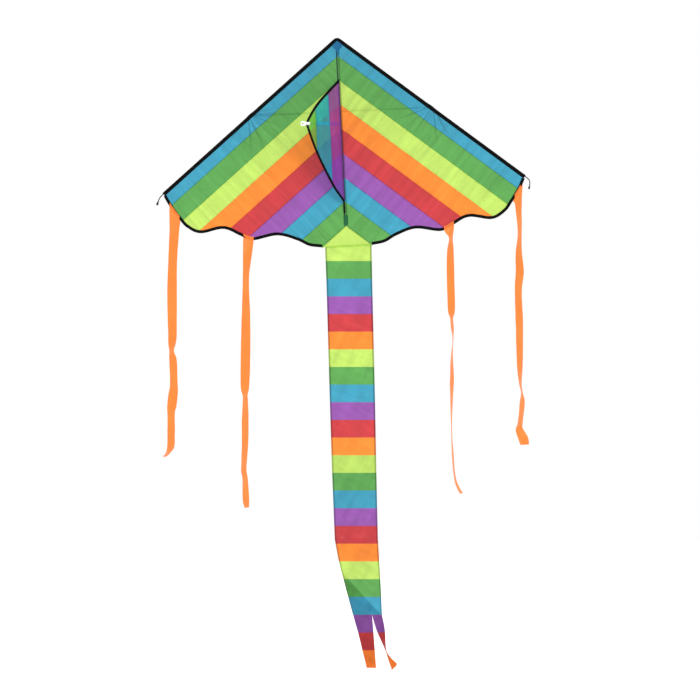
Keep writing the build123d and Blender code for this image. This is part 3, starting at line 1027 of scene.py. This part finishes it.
def makeNose():
    half = sail["foldLine"]
    ring = bothFaces(leadingEdge["profile"])
    rings = []
    for x in np.linspace(-half, half, 11):
        top = edgeHeight(x, 0) + noseRound(x)
        foot = edgeHeight(x, sail["edgeTape"])
        flat = 1 - ease((abs(x) - 0.001) / (half - 0.001))
        rings.append([
            Vector((x, -height * (flat if height < 0 else 1), top + (foot - top) * inset / 0.011))
            for inset, height in ring
        ])
    nose = makePiece("nose_tape", [tubePart(rings)], [blackTape])
    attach(nose, "spine")
    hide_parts("nose_binding")

    # shield shaped patch with a stem down the spine: a middle on the spine and an ear on each wing
    def middle(u, v):
        x = half * (2 * u - 1)
        top, foot = edgeHeight(x, 0.0095), -0.046
        z = top + v * (foot - top)
        narrow = 1 - 0.62 * ease((-0.030 - z) / 0.014)
        return x * narrow, -0.0010, top + v * (foot - top)

    patch = makePiece("nose_patch_middle", [gridPart(middle, 16, 9)], [noseBlue])
    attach(patch, "spine")
    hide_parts("nose_patch")
    for wing, side in wings.items():
        def ear(u, v):
            x = half + u * (spine["patchHalf"] - half)
            top = edgeHeight(x, 0.0095)
            foot = spine["patchFoot"] + 0.006 * u**3
            return side * x, -0.0010, top + v * (foot - top)

        piece = makePiece(f"nose_patch_ear_{wing}", [gridPart(ear, 6, 6)], [noseBlue])
        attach(piece, f"wing_{wing}")


def makeFoot():
    def place(u, v):
        z = -0.487 - 0.029 * v
        width = 0.0060 * (1 - 0.25 * ease((v - 0.7) / 0.3))
        return width * (2 * u - 1), -0.0009 - 0.0006 * sin(pi * u), z

    patch = makePiece("foot_patch_cover", [gridPart(place, 9, 7)], [footGreen])
    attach(patch, "spine")
    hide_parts("foot_patch")
    box = [
        (-0.0048, -0.0012, -0.489), (0.0048, -0.0012, -0.489), (0.0048, -0.0012, -0.513),
        (-0.0048, -0.0012, -0.513), (-0.0048, -0.0012, -0.489),
    ]
    stitches = makePiece("foot_patch_stitches", [stitchPart(box, (0, -1, 0), pitch=0.003)], [darkThread])
    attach(stitches, "spine")


def makeGusset():
    def place(u, v):
        x = seamHalf * (2 * u - 1)
        top = edgeHeight(x, gussetInset)
        z = top + v * (-sail["seamDrop"] - top)
        y = -0.0008 * sin(pi * v) * sin(2 * pi * u) ** 2
        return x, y, z

    gusset = makePiece("centre_gusset_cloth", [gridPart(place, 12, 41)], [cloth["lime"]])
    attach(gusset, "spine")
    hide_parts("centre_gusset")

    parts, rows = [], []
    for side in wings.values():
        def band(u, v):
            x = u * seamHalf
            step = (-0.0024, 0.0, 0.0024)[round(2 * v)]
            return side * x, (0.0001, 0.0005, 0.0001)[round(2 * v)], edgeHeight(x, gussetInset + step)
        parts.append(gridPart(band, 3, 18))
        rows.append(
            stitchPart(
                [
                    (side * x, -0.0002, edgeHeight(x, gussetInset - 0.0006))
                    for x in np.linspace(0.008, seamHalf, 12)
                ],
                (0, -1, 0),
            )
        )
    parts.append(
        gridPart(
            lambda u, v: (
                0.0014 * (2 * u - 1) + 0.0015, -0.0001 - 0.0004 * sin(pi * u), -0.516 - 0.050 * v
            ),
            12,
            3,
            1,
        )
    )
    seams = makePiece("gusset_seams", parts, [cloth["green"], thread["lime"]])
    stitches = makePiece("gusset_stitches", rows, [thread["green"]])
    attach(seams, "spine")
    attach(stitches, "spine")


makeSpine()
makeNose()
makeFoot()
makeGusset()
print("spine, nose, foot and gusset sewn")


# Keel: three panels that lean over to the left, taped free edge, tow tape across

keel = {
    "lean": 46.0,
    "y": -0.0016,
    "depth": 0.131,
    "top": -0.114,
    "foot": -0.449,
    "tapeFoot": -0.485,
    "root": 0.0008,
    "edge": [
        (0.037, -0.140), (0.090, -0.182), (0.125, -0.222), (0.131, -0.236), (0.128, -0.252),
        (0.097, -0.321), (0.045, -0.405),
    ],
    "seams": [0.044, 0.095],
    "tape": 0.0072,
    "towHeight": -0.236,
    "bulge": 0.0022,
}
keelOut = Vector((-sin(radians(keel["lean"])), -cos(radians(keel["lean"])), 0))
keelFace = Vector((-keelOut.y, keelOut.x, 0))  # towards the viewer's side
if keelFace.y > 0:
    keelFace = -keelFace
keelLine = smoothCurve([(keel["root"], keel["top"])] + keel["edge"] + [(0.007, keel["foot"])], 20)


def keelEdge(z):
    return float(np.interp(-z, -keelLine[:, 1], keelLine[:, 0]))


def onKeel(out, z, lift=0.0):
    span = max(keelEdge(z), 0.001)
    fill = sin(pi * min(out / span, 1)) * sin(
        pi * min(max((keel["top"] - z) / (keel["top"] - keel["foot"]), 0), 1)
    ) ** 0.7
    pleats = noiseAt(out / 0.016, z / 0.16, 5) * 0.0016 + noiseAt(
        out / 0.03 + z / 0.05, z / 0.06, 9
    ) * 0.0012
    lift += (keel["bulge"] * fill + pleats * min(1, fill * 2)) * ease((out - 0.004) / 0.05)
    return Vector((0, keel["y"], z)) + keelOut * out + keelFace * lift


def makeKeel():
    bounds = [keel["root"]] + keel["seams"] + [keel["depth"]]
    for colour, near, far in zip(("purple", "blue", "green"), bounds, bounds[1:]):
        inside = [z for out, z in keelLine if out > near]
        top, foot = max(inside), min(inside)

        def place(u, v):
            z = top + v * (foot - top)
            reach = max(min(far, keelEdge(z) - 0.001), near)
            return onKeel(near + u * (reach - near), z)

        panel = makePiece(f"keel_panel_{colour}", [gridPart(place, 70, 11)], [keelLitCloth[colour]])
        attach(panel, "keel")
        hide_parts(f"keel_{colour}")
        heights = np.linspace(top, foot, 60)
        width = [max(min(far, keelEdge(z)) - near, 0) for z in heights]

    line = [Vector((out, z, 0)) for out, z in keelLine]
    section = [(-0.0004, 0.0), (0.0003, 0.0007), (0.003, 0.0008), (0.0068, 0.0007), (keel["tape"], 0.0002)]
    rings, row = [], []
    for i in range(0, len(line), 2):
        run = line[min(i + 1, len(line) - 1)] - line[max(i - 1, 0)]
        inward = Vector((run.y, -run.x)).normalized()
        if inward.x > 0 and line[i].x > 0.02:
            inward = -inward
        ring = []
        for reach, height in bothFaces(section):
            at = (line[i].x + inward.x * reach, line[i].y + inward.y * reach)
            ring.append(onKeel(max(at[0], 0.0002), at[1], height))
        rings.append(ring)
        row.append(
            onKeel(max(line[i].x + inward.x * 0.0055, 0.0004), line[i].y + inward.y * 0.0055, 0.0009)
        )
    tape = makePiece("keel_edge_tape", [tubePart(rings)], [blackTape])
    tail = [
        [
            Vector((0, keel["y"], z)) + keelOut * out + keelFace * h
            for out, h in (
                (0.0004, 0.0), (0.0012, 0.0007), (0.0062, 0.0007), (0.0070, 0.0), (0.0062, -0.0007),
                (0.0012, -0.0007),
            )
        ]
        for z in np.arange(keel["foot"] + 0.004, keel["tapeFoot"], -0.004)
    ]
    strip = makePiece("keel_tape_tail", [tubePart(tail)], [blackTape])
    stitches = makePiece("keel_edge_stitches", [stitchPart(row, keelFace, pitch=0.0038)], [darkThread])
    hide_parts("keel_binding")

    bands, rows = [], []
    beside = ["purple", "blue"]
    for slot, out in enumerate(keel["seams"]):
        inside = [z for o, z in keelLine if o > out + 0.008]
        top, foot = max(inside), min(inside)
        bands.append(
            gridPart(
                lambda u, v: onKeel(
                    out + 0.0022 * (2 * u - 1), top + v * (foot - top), -0.0001 - 0.0004 * sin(pi * u)
                ),
                50,
                3,
                slot,
            )
        )
        rows.append(
            stitchPart([onKeel(out, z, 0.0001) for z in np.arange(top, foot, -0.008)], keelFace, slot)
        )
    seams = makePiece("keel_seams", bands, [keelLitCloth[c] for c in beside])
    seamStitches = makePiece("keel_seam_stitches", rows, [thread[c] for c in beside])
    turns = np.linspace(0, 2 * pi, 9)[:-1]
    root = [
        [Vector((0.0012 * cos(a), keel["y"] + 0.0010 * sin(a), z)) for a in turns]
        for z in np.arange(keel["top"], keel["foot"], -0.006)
    ]
    rootSeam = makePiece("keel_root_seam", [tubePart(root)], [spinePiping])
    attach(rootSeam, "spine")
    for piece in (tape, strip, stitches, seams, seamStitches):
        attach(piece, "keel")


def makeTowTape():
    # white webbing across the back of the keel and round the ring's bar
    barOut, lap, loop = keel["depth"] + 0.005, 0.0016, 0.00165
    path = [
        (0.006, 0.0008), (0.030, 0.0008), (0.060, 0.0008), (0.090, 0.0009), (0.117, 0.0010), (0.123, lap),
        (barOut - 0.002, loop),
    ]
    path += [(barOut + loop * sin(a), loop * cos(a)) for a in np.linspace(0.3, pi - 0.3, 8)]
    path += [(barOut - 0.002, -loop), (0.125, -lap), (0.119, -lap)]
    half = 0.004
    rings = []
    for i, (out, back) in enumerate(path):
        a, b = path[max(i - 1, 0)], path[min(i + 1, len(path) - 1)]
        run = Vector((b[0] - a[0], b[1] - a[1])).normalized()
        aside = Vector((-run.y, run.x)) * 0.00025
        ring = []
        for sign, z in ((1, half), (1, -half), (-1, -half), (-1, half)):
            at = onKeel(min(out, keel["depth"]), keel["towHeight"] + z)
            bare = Vector((0, keel["y"], keel["towHeight"] + z)) + keelOut * min(out, keel["depth"])
            lean = (at - bare) * (1 - ease((out - 0.115) / 0.014))
            ring.append(
                Vector((0, keel["y"], keel["towHeight"] + z))
                + lean
                + keelOut * (out + sign * aside.x)
                - keelFace * (back + sign * aside.y)
            )
        rings.append(ring)
    tape = makePiece("tow_tape_webbing", [tubePart(rings)], [whiteTape])
    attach(tape, "keel")
    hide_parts("tow_tape")


makeKeel()
makeTowTape()
print("keel sewn and taped")


# Streamers: ribbon lapped over the hem, hanging with slow twists

ribbonWidth = 0.028
streamers = {  # keys: drop, sideways from the straight line, towards the viewer, turn in degrees
    "outer_left": {
        "place": -0.4615, "lean": 5.5, "length": 0.656,
        "keys": [
            (-0.010, -0.006, 0.0, 0), (0.006, -0.006, 0.001, 4), (0.045, -0.006, 0.004, 22),
            (0.128, -0.0065, 0.006, 34), (0.211, -0.004, 0.003, 22),
            (0.320, 0.002, 0.004, 36), (0.345, 0.0025, 0.006, 46), (0.367, 0.002, 0.008, 66),
            (0.392, 0.0073, 0.007, 46), (0.458, 0.0125, 0.004, 44),
            (0.488, 0.0115, 0.003, 24), (0.520, 0.0098, 0.004, 28), (0.541, 0.0090, 0.006, 46),
            (0.622, 0.0125, 0.004, 46), (0.645, 0.0060, 0.002, 62), (0.656, -0.004, 0.0, 68),
        ],
    },
    "inner_left": {
        "place": -0.266, "lean": 3.8, "length": 0.733,
        "keys": [
            (-0.010, -0.003, 0.0, 0), (0.006, -0.0036, 0.001, 4), (0.050, -0.006, 0.005, 36),
            (0.107, -0.0085, 0.007, 54), (0.160, -0.0075, 0.006, 46),
            (0.216, -0.0067, 0.003, 34), (0.326, -0.006, 0.002, 22), (0.400, -0.006, 0.004, 34),
            (0.424, -0.005, 0.006, 62), (0.440, -0.004, 0.007, 60),
            (0.500, -0.0035, 0.005, 50), (0.572, -0.0032, 0.004, 54), (0.627, -0.0055, 0.002, 60),
            (0.655, -0.001, 0.003, 60), (0.710, 0.002, 0.005, 52), (0.733, 0.005, 0.006, 66),
        ],
    },
    "inner_right": {
        "place": 0.278, "lean": 0.4, "length": 0.728,
        "keys": [
            (-0.010, 0.0035, 0.0, 0), (0.005, 0.0045, 0.002, 20), (0.026, 0.0075, 0.006, 66),
            (0.060, 0.005, 0.004, 50), (0.108, 0.003, 0.002, 42),
            (0.218, 0.001, 0.003, 44), (0.246, 0.0, 0.005, 70), (0.273, 0.0015, 0.006, 72),
            (0.306, 0.0015, 0.006, 85), (0.342, -0.0027, 0.004, 78),
            (0.410, -0.0056, 0.002, 66), (0.465, -0.009, 0.003, 72), (0.547, -0.0125, 0.005, 83),
            (0.630, -0.012, 0.005, 78), (0.685, -0.009, 0.004, 78),
            (0.713, -0.0005, 0.003, 72), (0.728, 0.0075, 0.002, 70),
        ],
    },
    "outer_right": {
        "place": 0.4765, "lean": 1.6, "length": 0.693,
        "keys": [
            (-0.010, -0.001, 0.0, 0), (0.008, -0.001, 0.002, 14), (0.027, -0.001, 0.004, 42),
            (0.110, 0.001, 0.006, 64), (0.165, -0.0025, 0.005, 50),
            (0.219, -0.001, 0.003, 34), (0.274, -0.006, 0.003, 44), (0.356, -0.005, 0.003, 42),
            (0.466, -0.006, 0.004, 52), (0.521, -0.006, 0.006, 70),
            (0.549, -0.0025, 0.008, 76), (0.576, -0.0017, 0.006, 58), (0.631, -0.008, 0.003, 58),
            (0.649, -0.011, 0.002, 42), (0.672, -0.002, 0.002, 8), (0.693, 0.003, 0.001, 30),
        ],
    },
}


def hemHeight(x):
    # height of the trailing edge here
    order = np.argsort(trailingLine[:, 0])
    return float(np.interp(abs(x), trailingLine[order, 0], trailingLine[order, 1]))


def makeStreamer(name, plan):
    side = -1 if plan["place"] < 0 else 1
    wing = "left" if side < 0 else "right"
    body = f"streamer_{name}"
    top = hemHeight(plan["place"])
    keys = smoothCurve(plan["keys"], 10)
    slope = tan(radians(plan["lean"]))
    lie0 = lieOf(side, *fromNose(abs(plan["place"]), top))

    def place(u, v):
        drop = -0.010 + v * (plan["length"] + 0.010)
        off, forward, turn = readKeys(keys, drop)
        turn = radians(turn)
        across = (u - 0.5) * ribbonWidth
        cup = 0.0012 * (1 - (2 * u - 1) ** 2) * ease(drop / 0.05) + 0.0008 * noiseAt(
            drop / 0.03, u * 1.5, plan["place"] * 30
        )
        x = plan["place"] - slope * drop + off + across * cos(turn) - cup * sin(turn)
        y = lie0 * (1 - ease(drop / 0.10)) - 0.0015 - forward + across * sin(turn) - cup * cos(turn)
        settle = 1 - ease((drop - 0.002) / 0.03)
        z = top - drop + settle * (hemHeight(plan["place"] + off + across) - top)
        if drop < 0.004:
            y = lie0 - 0.0016
        return x, y, z

    band = makePiece(f"{body}_ribbon", [gridPart(place, 150, 7)], [ribbon])
    rows = [
        stitchPart([place(u, v) for u in np.linspace(0.08, 0.92, 12)], (0, -1, 0), width=0.0007)
        for v in (0.0035, 0.0110)
    ]
    stitches = makePiece(f"{body}_stitches", rows, [thread["orange"]])
    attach(stitches, f"wing_{wing}")
    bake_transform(band)
    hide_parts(body)


for name, plan in streamers.items():
    makeStreamer(name, plan)
print("four streamers hung")


# Tail: 24 sewn strips, hemmed sides, folded back low down on the left, forked end

tail = {
    "seam": -0.572,
    "firstStrip": 0.041,
    "strip": 0.04848,
    "colours": ["lime", "green", "blue", "purple", "red", "orange"],
    "width": 0.127,
    "legs": 0.068,  # width of both legs together
    "levelTurn": 2.8,  # degrees that the strips run down to the right
    "edges": [  # down, left edge, right edge
        (0.0, -0.0605, 0.0670), (0.10, -0.0615, 0.0640), (0.42, -0.0680, 0.0560), (0.62, -0.0715, 0.0500),
        (0.805, -0.0730, 0.0450),
        (0.865, -0.0650, 0.0460), (0.94, -0.0490, 0.0465), (1.012, -0.0330, 0.0460),
    ],
    "flap": [(0.895, 0.0), (1.012, 0.077)],  # down, width folded behind
    "creases": [  # from (across, down), to, width, height towards the viewer
        ((-0.012, 0.050), (-0.044, 0.190), 0.0035, 0.0026),
        ((-0.024, 0.056), (-0.032, 0.100), 0.0030, 0.0018),
        ((0.058, 0.140), (0.024, 0.196), 0.0040, 0.0024),
        ((0.020, 0.060), (0.040, 0.095), 0.0040, -0.0014),
        ((-0.050, 0.150), (-0.060, 0.210), 0.0035, 0.0020),
        ((-0.030, 0.215), (0.040, 0.232), 0.0050, 0.0018),
        ((-0.048, 0.352), (0.046, 0.380), 0.0045, 0.0024),
        ((-0.058, 0.340), (0.052, 0.336), 0.0040, -0.0016),
        ((0.000, 0.388), (0.058, 0.418), 0.0040, 0.0024),
        ((-0.036, 0.404), (0.054, 0.426), 0.0045, -0.0020),
        ((-0.010, 0.436), (0.056, 0.480), 0.0040, 0.0026),
        ((-0.052, 0.458), (-0.026, 0.512), 0.0040, 0.0024),
        ((0.014, 0.486), (0.054, 0.528), 0.0045, 0.0020),
        ((-0.040, 0.640), (0.030, 0.622), 0.0050, 0.0016),
        ((-0.058, 0.760), (0.000, 0.748), 0.0045, 0.0022),
        ((0.040, 0.740), (-0.012, 0.784), 0.0045, 0.0024),
        ((-0.060, 0.806), (0.040, 0.800), 0.0050, 0.0026),
        ((0.000, 0.815), (0.042, 0.836), 0.0045, -0.0026),
        ((-0.030, 0.872), (0.034, 0.930), 0.0060, 0.0030),
        ((0.000, 0.862), (0.040, 0.890), 0.0050, 0.0022),
        ((-0.020, 0.905), (0.044, 0.968), 0.0050, 0.0026),
    ],
    "leftLeg": [(1.012, -0.0330, 0.0190), (1.060, -0.0215, 0.0205), (1.156, -0.0030, 0.0230)],
    "rightLeg": [  # down, middle, turn
        (1.012, 0.0325, 0), (1.050, 0.0400, 30), (1.085, 0.0470, 66), (1.112, 0.0530, 84),
        (1.132, 0.0620, 60), (1.150, 0.0720, 40),
    ],
}


def tailLie(x, down):
    sway = 0.0026 * sin(9 * down + 0.6) + 0.0018 * sin(23 * down + 2.0)
    ripple = noiseAt(x / 0.035, down / 0.16, 2) * 0.0045 + noiseAt(x / 0.016, down / 0.035, 7) * 0.0016
    for start, end, width, height in tail["creases"]:
        far, off = besideLine(x, down, start, end)
        if -0.15 < far < 1.15:
            ripple += height * np.exp(
                -((off / width) ** 2)
            ) * ease((far + 0.15) / 0.3) * ease((1.15 - far) / 0.5)
    return (sway + ripple) * ease(down / 0.06) + 0.034 * ease((down - 0.62) / 0.55)


def levelDrop(x, down):
    # the strips run down to the right
    return x * tan(radians(tail["levelTurn"])) * ease(down / 0.04)


def tailParts(number, clothSlot, hemSlot):
    top = 0.0 if number == 0 else tail["firstStrip"] + (number - 1) * tail["strip"]
    foot = tail["firstStrip"] + number * tail["strip"]
    edges = np.array(tail["edges"])
    parts = []
    if number < 21:
        columns = [0.0, 0.02, 0.038] + list(np.linspace(0.08, 0.92, 19)) + [0.962, 0.98, 1.0]

        def place(u, v):
            down = top + v * (foot - top)
            left, right = readKeys(edges, down)
            f = columns[round(u * (len(columns) - 1))]
            x = left + f * (right - left)
            proud = 0.0005 if f < 0.03 or f > 0.97 else 0.0
            return x, -tailLie(x, down) - proud, tail["seam"] - down - levelDrop(x, down)

        points, faces, _ = gridPart(place, 9, len(columns))
        wide = len(columns) - 1
        for hem, slot in ((False, clothSlot), (True, hemSlot)):
            chosen = [f for i, f in enumerate(faces) if (i % wide in (0, 1, wide - 2, wide - 1)) == hem]
            parts.append((points, chosen, slot))
        if foot > tail["flap"][0][0]:
            flap = np.array(tail["flap"])

            def behind(u, v):
                down = top + v * (foot - top)
                x = readKeys(edges, down)[0] + u * readKeys(flap, down)[0]
                return x, -tailLie(
                    x, down
                ) + 0.0002 + 0.0028 * ease(u / 0.3), tail["seam"] - down - levelDrop(x, down)

            parts.append(gridPart(behind, 9, 6, clothSlot))
    else:
        leg = np.array(tail["leftLeg"])

        def leftLeg(u, v):
            down = top + v * (foot - top)
            left, right = readKeys(leg, down)
            x = left + u * (right - left)
            return x, -tailLie(x, down) - 0.0006 * ease(
                (down - 1.012) / 0.05
            ), tail["seam"] - down - levelDrop(x, down)

        turnLeg = smoothCurve(tail["rightLeg"], 8)

        def rightLeg(u, v):
            down = top + v * (foot - top)
            middle, turn = readKeys(turnLeg, min(down, 1.150))
            half = 0.0135 - 0.0035 * ease((down - 1.05) / 0.1)
            a = radians(turn)
            x = middle + half * (2 * u - 1) * cos(a)
            y = -tailLie(0.03, down) + half * (2 * u - 1) * sin(a)
            return x, y, tail["seam"] - down - levelDrop(x, down) + 0.006 * (2 * u - 1) * ease(
                (down - 1.13) / 0.02
            )

        parts.append(gridPart(leftLeg, 9, 9, clothSlot))
        parts.append(gridPart(rightLeg, 9, 7, clothSlot))
        for legPlace, columns in ((leftLeg, 9), (rightLeg, 7)):  # the folded side runs on behind both legs
            points, faces, slot = gridPart(legPlace, 9, columns, hemSlot)
            parts.append(([(x, y + 0.0012, z) for x, y, z in points], faces, slot))
    return parts


def tailStitches(number):
    foot = tail["firstStrip"] + number * tail["strip"]
    edges = np.array(tail["edges"])
    left, right = readKeys(edges, foot)
    path = [
        (x, -tailLie(x, foot) - 0.0002, tail["seam"] - foot - levelDrop(x, foot) + 0.0012)
        for x in np.linspace(left + 0.002, right - 0.002, 27)
    ]
    return stitchPart(path, (0, -1, 0), 2)


def makeTail():
    for half, label in enumerate(("upper", "lower")):
        for shade, colour in enumerate(tail["colours"]):
            parts = []
            numbers = (12 * half + shade, 12 * half + shade + 6)
            for number in numbers:
                parts += tailParts(number, 0, 1)
                if number < 20:
                    parts.append(tailStitches(number))
            piece = makePiece(
                f"tail_{label}_{colour}_strips", parts,
                [tailLitAndShadedCloth[label][colour], hem[colour], thread[colour]],
            )
            if shade == 0 and half == 0:
                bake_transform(piece)
            elif numbers[1] == 11 or numbers[0] == 12:
                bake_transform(piece)
            else:
                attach(piece, f"tail_{label}")
            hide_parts(f"tail_{label}_{colour}")

    # the tail's top edge is turned and sewn over the gusset
    def band(u, v):
        x = -0.0605 + 0.1275 * u
        return x, 0.0003 + 0.0006 * sin(pi * v), tail["seam"] + 0.0035 - 0.0070 * v

    seams = makePiece("tail_top_seam", [gridPart(band, 4, 24)], [cloth["lime"]])
    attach(seams, "spine")
    rows = [
        stitchPart(
            [(x, -0.0001, tail["seam"] + 0.0018) for x in np.linspace(-0.058, 0.064, 14)], (0, -1, 0)
        )
    ]
    stitches = makePiece("tail_top_stitches", rows, [thread["lime"]])
    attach(stitches, "spine")


makeTail()
print("tail sewn from its strips")
